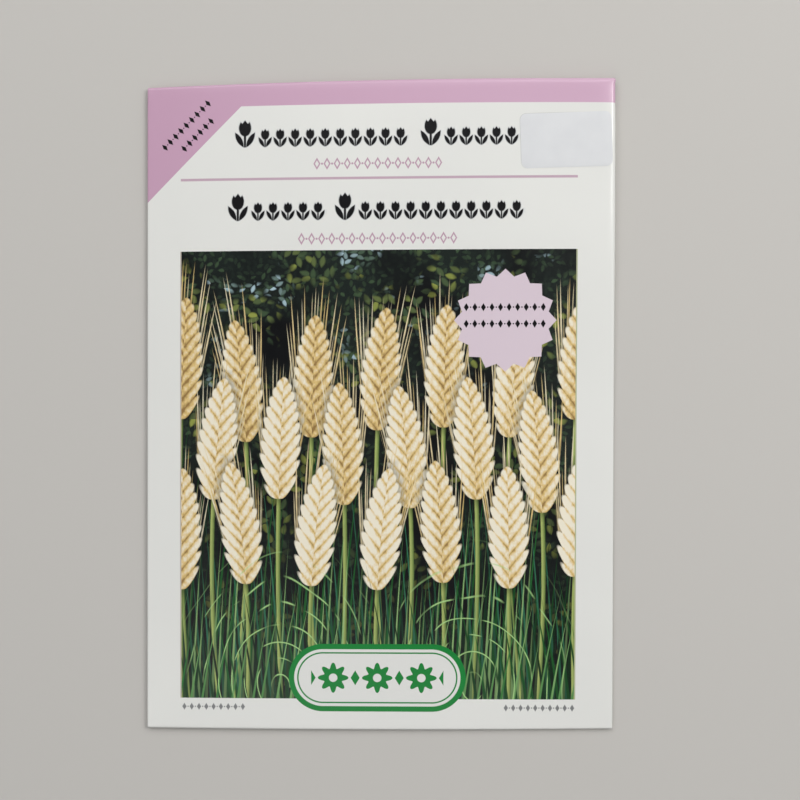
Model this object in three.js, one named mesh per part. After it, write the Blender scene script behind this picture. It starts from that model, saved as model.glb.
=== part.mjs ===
// A paper seed packet lying on its back: one sheet folded round into a flat pouch, glued along a side
// seam and under two end flaps, with a blank price label on its front and a pinch of seed inside.
// Millimetres. X runs across the packet, Y up towards its top edge, and Z up from the table.
// The origin is on the table, under the middle of the packet.
import * as THREE from 'three';

// Packet
const WIDTH = 82.5;
const HEIGHT = 115.2;
const PAPER = 0.15;
const GLUE = 0.06;
const BULGE = 1.6;               // how far the seeds and trapped air lift the middle of the front panel
const BULGE_ACROSS = 2.4;        // powers of the bulge's fall towards the side and end folds
const BULGE_ALONG = 2.6;

// End folds: each follows a shallow arc, furthest out at its peak
const TOP_PEAK_X = 28;
const TOP_CORNER_DROP = 1.58;    // how much lower the top left corner is than the peak
const BOTTOM_PEAK_X = -14;
const BOTTOM_CORNER_DROP = 0.48; // the same for the bottom right corner

// Heights of the middle of the paper where it lies in a flat layer, from the table up
const FLAP_Z = PAPER / 2;
const BACK_Z = FLAP_Z + PAPER + GLUE;
const SEAM_Z = BACK_Z + PAPER + GLUE;

// Heights of the middle of the front panel's paper where it turns into a fold
const LEFT_EDGE_Z = 0.86;
const RIGHT_EDGE_Z = 0.62;
const TOP_RIGHT_LIFT = 1.2;      // how much more the right fold opens out in its upper part
const LIFT_START = 0.5;          // parts of the height between which it opens
const LIFT_END = 0.8;
const CORNER_DIP = 0.36;         // how far the top right corner is pressed down
const CORNER_DIP_ACROSS = 3.2;   // reach of that dip along the top edge
const CORNER_DIP_ALONG = 14;     // and down the right edge

// Back
const SEAM_WIDTH = 9;
const SEAM_SETBACK = 1.5;        // from the left edge to the back panel's free edge, under the seam strip
const LAYER_TRIM = 0.25;         // the inner layers stop short of the end folds
const TOP_FLAP_DEPTH = 16;
const BOTTOM_FLAP_DEPTH = 12;
const FLAP_TAPER = 0.3;          // inward run of a flap's sides for each millimetre of its depth

// Glue lines, inset from the edges of the layers that they join
const FLAP_GLUE_HALF_WIDTH = 33;
const FLAP_GLUE_INSET = 2.5;
const SEAM_GLUE_INSET = 0.6;
const SEAM_GLUE_END_INSET = 2.5;

// Price label
const LABEL_WIDTH = 16;
const LABEL_HEIGHT = 9.6;
const LABEL_CORNER = 1.1;
const LABEL_THICKNESS = 0.08;
const LABEL_GAP = 0.05;
const LABEL_CENTRE = new THREE.Vector2(32.6, 46.6);
const LABEL_TURN = THREE.MathUtils.degToRad(1.9);

// Seeds
const SEED_COUNT = 40;
const SEED_LENGTH = 5.4;
const SEED_RADIUS = 0.36;
const SEED_SIDES = 6;
const SEED_LIFT = 0.03;          // above the inside of the back panel
const SEED_HEADROOM = 0.12;      // below the inside of the front panel
const SEED_SPACING = 0.2;        // between seeds
const SEED_AREA = { left: -30, right: 35, bottom: -52, top: 4 };
const RANDOM_SEED = 20;

// Mesh steps
const ACROSS_STEPS = 16;
const ALONG_STEPS = 22;
const FOLD_STEPS = 6;
const FLAP_STEPS = 2;
const BACK_COLUMNS = 3;
const LABEL_STEPS = 8;
const LABEL_CORNER_STEPS = 3;

const COATED_PAPER = { color: 0xdfe0dc, roughness: 0.4, metalness: 0 };
const LABEL_PAPER = { color: 0xdcdde0, roughness: 0.55, metalness: 0 };
const DRIED_GLUE = { color: 0xd8cfb0, roughness: 0.3, metalness: 0 };
const SEED_HUSK = { color: 0xb08a55, roughness: 0.8, metalness: 0 };

const { clamp, lerp, seededRandom, smoothstep } = THREE.MathUtils;
const UP = new THREE.Vector3(0, 0, 1);
const DOWN = new THREE.Vector3(0, 0, -1);
const ALONG = new THREE.Vector3(0, 1, 0);
const ACROSS = new THREE.Vector3(1, 0, 0);

const steps = (count) => Array.from({ length: count + 1 }, (_, k) => k / count);

// A frame is a point in the middle of a sheet's thickness and the direction its outer side faces there.
function frameAt(x, y, z, normal) {
  return { point: new THREE.Vector3(x, y, z), normal: normal.clone().normalize() };
}

// ---------------------------------------------------------------- shape of the front panel

function topEdge(x) {
  const fromPeak = (x - TOP_PEAK_X) / (WIDTH / 2 + TOP_PEAK_X);
  return HEIGHT / 2 - TOP_CORNER_DROP * fromPeak ** 2;
}

function bottomEdge(x) {
  const fromPeak = (x - BOTTOM_PEAK_X) / (WIDTH / 2 - BOTTOM_PEAK_X);
  return -HEIGHT / 2 + BOTTOM_CORNER_DROP * fromPeak ** 2;
}

// Height of the front panel's edges, carried on across the panel.
function edgeHeight(x, y) {
  const across = clamp(x / WIDTH + 0.5, 0, 1);
  const lift = TOP_RIGHT_LIFT * across * smoothstep(y / HEIGHT + 0.5, LIFT_START, LIFT_END);
  const fromCorner = Math.hypot((x - WIDTH / 2) / CORNER_DIP_ACROSS, (y - HEIGHT / 2) / CORNER_DIP_ALONG);
  const dip = CORNER_DIP * clamp(1 - fromCorner, 0, 1) ** 2;
  return lerp(LEFT_EDGE_Z, RIGHT_EDGE_Z, across) + lift - dip;
}

// How far a fold stands out from the line where it leaves the front panel.
function foldReach(edgeZ, backZ, slope) {
  const lean = Math.atan(slope);
  const radius = (edgeZ - backZ) / (1 + Math.cos(lean));
  return radius * (1 - Math.sin(lean)) + PAPER / 2;
}

// How steeply the bulge falls to the side folds at y, and to the end folds at x.
function sideSlope(y) {
  const along = clamp(Math.abs(2 * y / HEIGHT), 0, 1);
  return BULGE * (1 - along ** BULGE_ALONG) * BULGE_ACROSS / (WIDTH / 2);
}

function endSlope(x) {
  const across = clamp(Math.abs(2 * x / WIDTH), 0, 1);
  return BULGE * (1 - across ** BULGE_ACROSS) * BULGE_ALONG / (HEIGHT / 2);
}

function leftFoldLine(y) {
  return -WIDTH / 2 + foldReach(edgeHeight(-WIDTH / 2, y), SEAM_Z, sideSlope(y));
}

function rightFoldLine(y) {
  return WIDTH / 2 - foldReach(edgeHeight(WIDTH / 2, y), BACK_Z, sideSlope(y));
}

function topFoldLine(x) {
  return topEdge(x) - foldReach(edgeHeight(x, HEIGHT / 2), FLAP_Z, endSlope(x));
}

function bottomFoldLine(x) {
  return bottomEdge(x) + foldReach(edgeHeight(x, -HEIGHT / 2), FLAP_Z, endSlope(x));
}

// Height of the middle of the front panel's paper.
function frontHeight(x, y) {
  const left = leftFoldLine(y);
  const right = rightFoldLine(y);
  const bottom = bottomFoldLine(x);
  const top = topFoldLine(x);
  const across = clamp(Math.abs(2 * x - left - right) / (right - left), 0, 1);
  const along = clamp(Math.abs(2 * y - bottom - top) / (top - bottom), 0, 1);
  return edgeHeight(x, y) + BULGE * (1 - across ** BULGE_ACROSS) * (1 - along ** BULGE_ALONG);
}

// The panel's slope is taken a little inside its edges, where the bulge is still smooth.
function frontFrame(x, y) {
  const reach = 0.02;
  const insideX = clamp(x, leftFoldLine(y) + reach, rightFoldLine(y) - reach);
  const insideY = clamp(y, bottomFoldLine(x) + reach, topFoldLine(x) - reach);
  const riseX = frontHeight(insideX + reach, insideY) - frontHeight(insideX - reach, insideY);
  const riseY = frontHeight(insideX, insideY + reach) - frontHeight(insideX, insideY - reach);
  const normal = new THREE.Vector3(-riseX, -riseY, 2 * reach);
  return frameAt(x, y, frontHeight(x, y), normal);
}

// ---------------------------------------------------------------- the folded sheet

// The frames of one fold, from the panel edge it leaves to the flat layer it reaches at layerZ.
// out is the direction that the fold stands out in. The edge's own frame is left off.
function foldFrames(edge, out, layerZ) {
  const lean = Math.atan2(edge.normal.dot(out), edge.normal.z);
  const radius = (edge.point.z - layerZ) / (1 + Math.cos(lean));
  const centre = edge.point.clone().addScaledVector(out, -radius * Math.sin(lean));
  centre.z = layerZ + radius;
  return steps(FOLD_STEPS).slice(1).map((part) => {
    const turn = lerp(lean, Math.PI, part);
    const normal = out.clone().multiplyScalar(Math.sin(turn)).addScaledVector(UP, Math.cos(turn));
    const point = centre.clone().addScaledVector(normal, radius);
    return { point, normal };
  });
}

// Frames from a side fold's end across the back at layerZ to farX, for the row at this part of the height.
function backRow(foldEnd, farX, layerZ, part) {
  const nearX = foldEnd.point.x;
  const clearX = nearX + Math.sign(farX - nearX);
  return [clearX, lerp(clearX, farX, 0.5), farX].map((x) => {
    const bottom = bottomFoldLine(x) + LAYER_TRIM;
    const top = topFoldLine(x) - LAYER_TRIM;
    return frameAt(x, lerp(bottom, top, part), layerZ, DOWN);
  });
}

// One row of frames across the whole sheet: seam strip, left fold, front panel, right fold, back panel.
function sheetRow(part) {
  const front = steps(ACROSS_STEPS).map((across) => {
    const nominalX = lerp(-WIDTH / 2, WIDTH / 2, across);
    const y = lerp(bottomFoldLine(nominalX), topFoldLine(nominalX), part);
    return frontFrame(lerp(leftFoldLine(y), rightFoldLine(y), across), y);
  });
  const leftFold = foldFrames(front[0], ACROSS.clone().negate(), SEAM_Z);
  const rightFold = foldFrames(front.at(-1), ACROSS, BACK_Z);
  const seamStrip = backRow(leftFold.at(-1), -WIDTH / 2 + SEAM_WIDTH, SEAM_Z, part);
  const backPanel = backRow(rightFold.at(-1), -WIDTH / 2 + SEAM_SETBACK, BACK_Z, part);
  return [...seamStrip.reverse(), ...leftFold.reverse(), ...front, ...rightFold, ...backPanel];
}

// Rows of frames beyond an end of the front panel: its fold, then its flap under the back panel.
// Frames stay empty beside the front panel's columns, where the sheet's corners are cut away.
function endRows(edgeRow, out, flapDepth) {
  const columns = edgeRow.map((edge, column) => {
    if (!isFrontColumn(column)) return [];
    const fold = foldFrames(edge, out, FLAP_Z);
    const foldEnd = fold.at(-1).point;
    const flap = steps(FLAP_STEPS).slice(1).map((part) => {
      const depth = flapDepth * part;
      const narrowing = 1 - 2 * FLAP_TAPER * depth / WIDTH;
      return frameAt(foldEnd.x * narrowing, foldEnd.y - out.y * depth, FLAP_Z, DOWN);
    });
    return [...fold, ...flap];
  });
  return steps(FOLD_STEPS + FLAP_STEPS - 1).map((_, row) => columns.map((column) => column[row]));
}

function isFrontColumn(column) {
  const first = BACK_COLUMNS + FOLD_STEPS;
  return column >= first && column <= first + ACROSS_STEPS;
}

// Closes a grid of frames into a solid sheet of the given thickness. A cell that lacks a corner is left out.
function sheetSolid(frames, thickness) {
  const side = (frame, sign) => frame.point.clone().addScaledVector(frame.normal, sign * thickness / 2);
  const cell = (row, column) => {
    const corners = [[0, 0], [0, 1], [1, 1], [1, 0]].map(([up, along]) => frames[row + up]?.[column + along]);
    return corners.every(Boolean) ? corners : null;
  };
  const points = [];
  const quad = (a, b, c, d) => points.push(a, b, c, a, c, d);
  for (let row = 0; row < frames.length - 1; row += 1) {
    for (let column = 0; column < frames[row].length - 1; column += 1) {
      const corners = cell(row, column);
      if (!corners) continue;
      const outer = corners.map((frame) => side(frame, 1));
      const inner = corners.map((frame) => side(frame, -1));
      quad(...outer);
      quad(inner[3], inner[2], inner[1], inner[0]);
      const neighbours = [[row - 1, column], [row, column + 1], [row + 1, column], [row, column - 1]];
      neighbours.forEach((place, from) => {
        const to = (from + 1) % 4;
        if (!cell(...place)) quad(outer[to], outer[from], inner[from], inner[to]);
      });
    }
  }
  return new THREE.BufferGeometry().setFromPoints(points);
}

function envelopeGeometry() {
  const middle = steps(ALONG_STEPS).map(sheetRow);
  const bottom = endRows(middle[0], ALONG.clone().negate(), BOTTOM_FLAP_DEPTH);
  const top = endRows(middle.at(-1), ALONG, TOP_FLAP_DEPTH);
  return sheetSolid([...bottom.reverse(), ...middle, ...top], PAPER);
}

// ---------------------------------------------------------------- glue, label and seeds

function slab(left, right, bottom, top, floorZ) {
  const geometry = new THREE.BoxGeometry(right - left, top - bottom, GLUE);
  return geometry.translate((left + right) / 2, (bottom + top) / 2, floorZ + GLUE / 2);
}

function topFlapGlue() {
  const outerEnd = topFoldLine(-FLAP_GLUE_HALF_WIDTH);
  const innerEnd = topFoldLine(FLAP_GLUE_HALF_WIDTH) - TOP_FLAP_DEPTH;
  return slab(-FLAP_GLUE_HALF_WIDTH, FLAP_GLUE_HALF_WIDTH,
    innerEnd + FLAP_GLUE_INSET, outerEnd - FLAP_GLUE_INSET, PAPER);
}

function bottomFlapGlue() {
  const outerEnd = bottomFoldLine(FLAP_GLUE_HALF_WIDTH);
  const innerEnd = bottomFoldLine(BOTTOM_PEAK_X) + BOTTOM_FLAP_DEPTH;
  return slab(-FLAP_GLUE_HALF_WIDTH, FLAP_GLUE_HALF_WIDTH,
    outerEnd + FLAP_GLUE_INSET, innerEnd - FLAP_GLUE_INSET, PAPER);
}

function sideSeamGlue() {
  const left = -WIDTH / 2 + SEAM_SETBACK + SEAM_GLUE_INSET;
  const right = -WIDTH / 2 + SEAM_WIDTH - SEAM_GLUE_INSET;
  return slab(left, right, bottomFoldLine(left) + SEAM_GLUE_END_INSET,
    topFoldLine(left) - SEAM_GLUE_END_INSET, BACK_Z + PAPER / 2);
}

// Rows run up the label. Next to its top and bottom edges they shorten to round its corners.
function labelGeometry() {
  const straight = LABEL_HEIGHT / 2 - LABEL_CORNER;
  const bends = steps(LABEL_CORNER_STEPS).map((part) => part * Math.PI / 2);
  const upper = bends.map((bend) => ({
    y: straight + LABEL_CORNER * Math.sin(bend),
    halfWidth: LABEL_WIDTH / 2 - LABEL_CORNER * (1 - Math.cos(bend)),
  }));
  const lower = upper.map(({ y, halfWidth }) => ({ y: -y, halfWidth })).reverse();
  const middle = steps(4).slice(1, -1).map((part) => ({
    y: lerp(-straight, straight, part),
    halfWidth: LABEL_WIDTH / 2,
  }));
  const frames = [...lower, ...middle, ...upper].map(({ y, halfWidth }) =>
    steps(LABEL_STEPS).map((across) => labelFrame(lerp(-halfWidth, halfWidth, across), y)));
  return sheetSolid(frames, LABEL_THICKNESS);
}

function labelFrame(x, y) {
  const place = new THREE.Vector2(x, y).rotateAround(new THREE.Vector2(), LABEL_TURN).add(LABEL_CENTRE);
  const panel = frontFrame(place.x, place.y);
  const lift = PAPER / 2 + LABEL_GAP + LABEL_THICKNESS / 2;
  panel.point.addScaledVector(panel.normal, lift);
  return panel;
}

// A grass seed: a slim grain that runs out into a short tail.
function seedGeometry() {
  const grain = [[0, 0], [0.5, 0.05], [0.92, 0.17], [1, 0.3], [0.78, 0.48], [0.36, 0.63]];
  const outline = [...grain, [0.17, 0.85], [0, 1]];
  const profile = outline.map(([radius, along]) =>
    new THREE.Vector2(radius * SEED_RADIUS, (along - 0.5) * SEED_LENGTH));
  return new THREE.LatheGeometry(profile, SEED_SIDES);
}

// The ends of a seed that lies at (x, y) and points along angle.
function seedEnds({ x, y, angle }) {
  const half = new THREE.Vector2(SEED_LENGTH / 2, 0).rotateAround(new THREE.Vector2(), angle);
  return [new THREE.Vector2(x, y).sub(half), new THREE.Vector2(x, y), new THREE.Vector2(x, y).add(half)];
}

function seedFits(place, placed) {
  const height = BACK_Z + PAPER / 2 + SEED_LIFT + 2 * SEED_RADIUS + SEED_HEADROOM;
  const roomy = seedEnds(place).every((end) => frontHeight(end.x, end.y) - PAPER / 2 > height);
  const apart = placed.every((other) => segmentGap(place, other) > 2 * SEED_RADIUS + SEED_SPACING);
  return roomy && apart;
}

// Distance between the middle lines of two seeds, from points spread along both.
function segmentGap(one, other) {
  const spread = (place) => {
    const [start, , end] = seedEnds(place);
    return steps(12).map((part) => start.clone().lerp(end, part));
  };
  const others = spread(other);
  return Math.min(...spread(one).flatMap((point) => others.map((far) => point.distanceTo(far))));
}

// Seeds gather low in the packet: the draw is squared to favour its bottom end.
function scatterSeeds() {
  seededRandom(RANDOM_SEED);
  const placed = [];
  while (placed.length < SEED_COUNT) {
    const place = {
      x: lerp(SEED_AREA.left, SEED_AREA.right, seededRandom()),
      y: lerp(SEED_AREA.bottom, SEED_AREA.top, seededRandom() ** 2),
      angle: seededRandom() * 2 * Math.PI,
    };
    if (seedFits(place, placed)) placed.push(place);
  }
  return placed;
}

// ---------------------------------------------------------------- assembly

function part(name, geometry, look) {
  const mesh = new THREE.Mesh(geometry, new THREE.MeshStandardMaterial(look));
  mesh.name = name;
  return mesh;
}

const packet = new THREE.Group();
packet.add(part('envelope', envelopeGeometry(), COATED_PAPER));
packet.add(part('top_flap_glue', topFlapGlue(), DRIED_GLUE));
packet.add(part('bottom_flap_glue', bottomFlapGlue(), DRIED_GLUE));
packet.add(part('side_seam_glue', sideSeamGlue(), DRIED_GLUE));
packet.add(part('price_label', labelGeometry(), LABEL_PAPER));

scatterSeeds().forEach(({ x, y, angle }, index) => {
  const seed = part(`seed_${String(index + 1).padStart(2, '0')}`, seedGeometry(), SEED_HUSK);
  seed.position.set(x, y, BACK_Z + PAPER / 2 + SEED_LIFT + SEED_RADIUS);
  seed.rotation.set(0, 0, angle - Math.PI / 2);
  packet.add(seed);
});

export default packet;
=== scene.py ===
# The looks of a printed paper seed packet that lies on its back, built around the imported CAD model.
# Lengths are in millimetres, as on the real packet, until mesh_object turns them into metres.
import math
from functools import partial

import bmesh
import bpy
import numpy as np
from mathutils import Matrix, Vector


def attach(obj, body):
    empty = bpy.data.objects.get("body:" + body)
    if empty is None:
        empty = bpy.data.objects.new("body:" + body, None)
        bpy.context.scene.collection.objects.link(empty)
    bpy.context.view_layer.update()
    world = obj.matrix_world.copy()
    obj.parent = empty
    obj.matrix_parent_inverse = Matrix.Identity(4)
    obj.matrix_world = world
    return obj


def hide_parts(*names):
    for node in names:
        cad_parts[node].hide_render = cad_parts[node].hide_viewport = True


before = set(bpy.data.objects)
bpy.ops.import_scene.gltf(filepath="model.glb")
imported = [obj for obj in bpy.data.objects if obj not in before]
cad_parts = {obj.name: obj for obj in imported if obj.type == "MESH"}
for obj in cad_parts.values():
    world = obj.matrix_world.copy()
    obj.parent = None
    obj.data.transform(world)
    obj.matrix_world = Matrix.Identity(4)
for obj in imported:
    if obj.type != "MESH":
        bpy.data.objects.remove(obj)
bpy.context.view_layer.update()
MM = 0.001

# ---------------------------------------------------------------- sizes of the packet

WIDTH = 82.5
HEIGHT = 115.2
PAPER = 0.15                     # thickness of the paper
GLUE = 0.06                      # gap that paste fills between two layers
BULGE = 1.6                      # how far the front panel's middle stands over its edges
BULGE_ACROSS = 2.4               # powers of the bulge's curve, higher is flatter in the middle
BULGE_ALONG = 2.6
TOP_PEAK_X = 28                  # where the bowed top edge is highest
TOP_CORNER_DROP = 1.58           # how far it falls to the left corner
BOTTOM_PEAK_X = -14              # where the bowed bottom edge is lowest
BOTTOM_CORNER_DROP = 0.48        # how far it rises to the right corner
FLAP_Z = PAPER / 2               # heights of the middle of the paper in each flat layer
BACK_Z = FLAP_Z + PAPER + GLUE
SEAM_Z = BACK_Z + PAPER + GLUE
LEFT_EDGE_Z = 0.86               # heights of the front panel's edges
RIGHT_EDGE_Z = 0.62
TOP_RIGHT_LIFT = 1.2             # how much further open the upper right fold stands
LIFT_START = 0.5                 # parts of the height between which it opens
LIFT_END = 0.8
CORNER_DIP = 0.36                # how far the top right corner is pressed down
CORNER_DIP_ACROSS = 3.2
CORNER_DIP_ALONG = 14
SEAM_WIDTH = 9
SEAM_SETBACK = 1.5               # from the left edge to the back panel's free edge
LAYER_TRIM = 0.25                # how far the back and the seam strip end short of the end folds
TOP_FLAP_DEPTH = 16
BOTTOM_FLAP_DEPTH = 12
FLAP_TAPER = 0.3                 # how far each side of a flap slants in, for each unit of its depth

LABEL_WIDTH = 16
LABEL_HEIGHT = 9.6
LABEL_CORNER = 1.1
LABEL_THICKNESS = 0.08
LABEL_CENTRE = Vector((32.6, 46.6))
LABEL_TURN = math.radians(1.9)

# Mesh steps
ACROSS_STEPS = 120
ALONG_STEPS = 116
FOLD_STEPS = 14
BACK_STEPS = 56
SEAM_STEPS = 6
TOP_FLAP_STEPS = 14
BOTTOM_FLAP_STEPS = 10

# Corners of the packet, where two folds meet
CORNER_POWER = 5                 # higher is squarer
CORNER_TURN = 0.6 * math.pi      # how far round under the corner its paper reaches

FIRST_COLUMN = 1                 # how far from its fold the first column of frames on the back is
CUT_STRIP = 0.3                  # width that the paper's cut edge is given in the UV map
CRISP_ANGLE = 40                 # edges sharper than this many degrees aren't smoothed

RIGHT = np.array((1.0, 0.0, 0.0))
ALONG = np.array((0.0, 1.0, 0.0))
UP = np.array((0.0, 0.0, 1.0))


# ---------------------------------------------------------------- shape of the front panel

def top_edge(x):
    return HEIGHT / 2 - TOP_CORNER_DROP * ((x - TOP_PEAK_X) / (WIDTH / 2 + TOP_PEAK_X)) ** 2


def bottom_edge(x):
    return -HEIGHT / 2 + BOTTOM_CORNER_DROP * ((x - BOTTOM_PEAK_X) / (WIDTH / 2 - BOTTOM_PEAK_X)) ** 2


def edge_height(x, y):
    """Height of the front panel's edges, carried on across the panel."""
    across = np.clip(x / WIDTH + 0.5, 0, 1)
    opened = np.clip((y / HEIGHT + 0.5 - LIFT_START) / (LIFT_END - LIFT_START), 0, 1)
    lift = TOP_RIGHT_LIFT * across * opened**2 * (3 - 2 * opened)
    from_corner = np.hypot((x - WIDTH / 2) / CORNER_DIP_ACROSS, (y - HEIGHT / 2) / CORNER_DIP_ALONG)
    dip = CORNER_DIP * np.clip(1 - from_corner, 0, 1) ** 2
    return LEFT_EDGE_Z + (RIGHT_EDGE_Z - LEFT_EDGE_Z) * across + lift - dip


def fold_reach(edge_z, layer_z, slope):
    """How far a fold stands out from the line where it leaves the front panel."""
    lean = np.arctan(slope)
    radius = (edge_z - layer_z) / (1 + np.cos(lean))
    return radius * (1 - np.sin(lean)) + PAPER / 2


def side_slope(y):
    return BULGE * (1 - np.clip(abs(2 * y / HEIGHT), 0, 1) ** BULGE_ALONG) * BULGE_ACROSS / (WIDTH / 2)


def end_slope(x):
    return BULGE * (1 - np.clip(abs(2 * x / WIDTH), 0, 1) ** BULGE_ACROSS) * BULGE_ALONG / (HEIGHT / 2)


def left_fold_line(y):
    return -WIDTH / 2 + fold_reach(edge_height(-WIDTH / 2, y), SEAM_Z, side_slope(y))


def right_fold_line(y):
    return WIDTH / 2 - fold_reach(edge_height(WIDTH / 2, y), BACK_Z, side_slope(y))


def top_fold_line(x):
    return top_edge(x) - fold_reach(edge_height(x, HEIGHT / 2), FLAP_Z, end_slope(x))


def bottom_fold_line(x):
    return bottom_edge(x) + fold_reach(edge_height(x, -HEIGHT / 2), FLAP_Z, end_slope(x))


def front_height(x, y):
    left, right = left_fold_line(y), right_fold_line(y)
    bottom, top = bottom_fold_line(x), top_fold_line(x)
    across = np.clip(abs(2 * x - left - right) / (right - left), 0, 1)
    along = np.clip(abs(2 * y - bottom - top) / (top - bottom), 0, 1)
    return edge_height(x, y) + BULGE * (1 - across**BULGE_ACROSS) * (1 - along**BULGE_ALONG)


def front_frames(x, y):
    """Points in the middle of the front panel's paper and the directions that it faces there."""
    reach = 0.02
    inside_x = np.clip(x, left_fold_line(y) + reach, right_fold_line(y) - reach)
    inside_y = np.clip(y, bottom_fold_line(x) + reach, top_fold_line(x) - reach)
    rise_x = front_height(inside_x + reach, inside_y) - front_height(inside_x - reach, inside_y)
    rise_y = front_height(inside_x, inside_y + reach) - front_height(inside_x, inside_y - reach)
    normals = np.stack([-rise_x, -rise_y, np.full_like(rise_x, 2 * reach)], -1)
    normals /= np.linalg.norm(normals, axis=-1, keepdims=True)
    return np.stack([x, y, front_height(x, y)], -1), normals


# ---------------------------------------------------------------- the folded sheet

def fold(points, normals, places, out, layer_z):
    """Frames round a fold, from a panel edge to the flat layer at layer_z, without the edge's own.

    out is the direction that the fold stands out in. places are the edge's points on the unfolded sheet.
    """
    lean = np.arctan2(normals @ out, normals[:, 2])
    radius = (points[:, 2] - layer_z) / (1 + np.cos(lean))
    centres = points - out * (radius * np.sin(lean))[:, None]
    centres[:, 2] = layer_z + radius
    rows = []
    for part in np.arange(1, FOLD_STEPS + 1) / FOLD_STEPS:
        turn = lean + (math.pi - lean) * part
        facing = np.sin(turn)[:, None] * out + np.cos(turn)[:, None] * UP
        printed = places + out[:2] * (radius * (turn - lean))[:, None]
        rows.append((centres + facing * radius[:, None], facing, printed))
    return rows


def back_columns(fold_end, far_x, layer_z, steps):
    """Frames from a side fold's end across the back at layer_z to far_x."""
    points, _, places = fold_end
    part = np.arange(len(points)) / (len(points) - 1)
    near_x = points[:, 0].mean()
    toward = np.sign(far_x - near_x)
    columns = []
    for x in (near_x + toward * FIRST_COLUMN, *np.linspace(near_x, far_x, steps + 1)[1:]):
        bottom = bottom_fold_line(x) + LAYER_TRIM
        y = bottom + (top_fold_line(x) - LAYER_TRIM - bottom) * part
        column = np.stack([np.full_like(y, x), y, np.full_like(y, layer_z)], -1)
        printed = np.stack([np.full_like(y, places[:, 0].mean() - (x - near_x)), y], -1)
        columns.append((column, np.tile(-UP, (len(y), 1)), printed))
    return columns


def end_rows(edge, out, depth, steps):
    """Rows of frames beyond an end of the front panel: its fold, then its flap under the back panel."""
    rows = fold(*edge, out, FLAP_Z)
    points, facing, places = rows[-1]
    for part in np.arange(1, steps + 1) / steps:
        row = points.copy()
        row[:, 0] *= 1 - 2 * FLAP_TAPER * depth * part / WIDTH
        row[:, 1] -= out[1] * depth * part
        printed = np.stack([row[:, 0], places[:, 1] + out[1] * depth * part], -1)
        rows.append((row, facing, printed))
    return rows


def stack(lines, axis):
    return [np.stack(parts, axis) for parts in zip(*lines)]


def front_panel():
    """Frames of the front panel, as grids of points, facings and places between its four fold lines."""
    across = np.linspace(0, 1, ACROSS_STEPS + 1)[None, :]
    part = np.linspace(0, 1, ALONG_STEPS + 1)[:, None]
    nominal_x = WIDTH * (across - 0.5) + 0 * part
    bottom = bottom_fold_line(nominal_x)
    y = bottom + (top_fold_line(nominal_x) - bottom) * part
    left = left_fold_line(y)
    x = left + (right_fold_line(y) - left) * across
    points, normals = front_frames(x, y)
    return points, normals, np.stack([x, y], -1)


def sheet_frames():
    """Grids of the whole sheet, with NaN in its cut-away corners, and the front panel's first column."""
    panel = front_panel()
    left = fold(*[grid[:, 0] for grid in panel], -RIGHT, SEAM_Z)
    right = fold(*[grid[:, -1] for grid in panel], RIGHT, BACK_Z)
    seam = back_columns(left[-1], -WIDTH / 2 + SEAM_WIDTH, SEAM_Z, SEAM_STEPS)
    back = back_columns(right[-1], -WIDTH / 2 + SEAM_SETBACK, BACK_Z, BACK_STEPS)
    before = stack([*seam[::-1], *left[::-1]], 1)
    after = stack([*right, *back], 1)
    bottom = end_rows([grid[0] for grid in panel], -ALONG, BOTTOM_FLAP_DEPTH, BOTTOM_FLAP_STEPS)
    top = end_rows([grid[-1] for grid in panel], ALONG, TOP_FLAP_DEPTH, TOP_FLAP_STEPS)

    first, last = before[0].shape[1], after[0].shape[1]
    beside = ((0, 0), (first, last), (0, 0))
    grids = []
    for low, high, *across in zip(stack(bottom[::-1], 0), stack(top, 0), before, panel, after):
        low, high = [np.pad(rows, beside, constant_values=np.nan) for rows in (low, high)]
        grids.append(np.concatenate([low, np.concatenate(across, 1), high], 0))
    round_corners(grids, first, len(bottom))
    return grids, first


def round_corners(grids, first_column, first_row):
    """Puts the four small corners into the sheet's grids. The front panel begins at that column and row."""
    away = np.arange(1, FOLD_STEPS + 1)
    for out_x, column, layer_z in ((-1, first_column, SEAM_Z), (1, first_column + ACROSS_STEPS, BACK_Z)):
        for out_y, row in ((-1, first_row), (1, first_row + ALONG_STEPS)):
            block = corner(grids[0][row, column], grids[2][row, column], out_x, out_y, layer_z)
            for grid, values in zip(grids, block):
                grid[np.ix_(row + out_y * away, column + out_x * away)] = values


def corner(point, place, out_x, out_y, layer_z):
    """Frames of the small rounded corner where a side fold and an end fold run into each other."""
    side_radius = (point[2] - layer_z) / 2
    end_radius = (point[2] - FLAP_Z) / 2

    def surface(side_turn, end_turn):
        turn = (side_turn**CORNER_POWER + end_turn**CORNER_POWER) ** (1 / CORNER_POWER)
        share = end_turn**2 / (side_turn**2 + end_turn**2)
        depth = (side_radius + (end_radius - side_radius) * share) * (1 - np.cos(turn))
        reach = np.sin(turn) / turn
        return np.stack([
            point[0] + out_x * side_radius * reach * side_turn,
            point[1] + out_y * end_radius * reach * end_turn,
            point[2] - depth,
        ], -1)

    turns = math.pi * np.arange(1, FOLD_STEPS + 1) / FOLD_STEPS
    end_turn, side_turn = np.meshgrid(turns, turns, indexing="ij")
    step = 0.01
    along_side = surface(side_turn + step, end_turn) - surface(side_turn - step, end_turn)
    along_end = surface(side_turn, end_turn + step) - surface(side_turn, end_turn - step)
    facing = np.cross(along_side, along_end) * out_x * out_y
    facing /= np.linalg.norm(facing, axis=-1, keepdims=True)
    points = surface(side_turn, end_turn)
    points[np.maximum(side_turn, end_turn) > CORNER_TURN] = np.nan
    printed = np.stack([
        place[0] + out_x * side_radius * side_turn,
        place[1] + out_y * end_radius * end_turn,
    ], -1)
    return points, facing, printed


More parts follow.
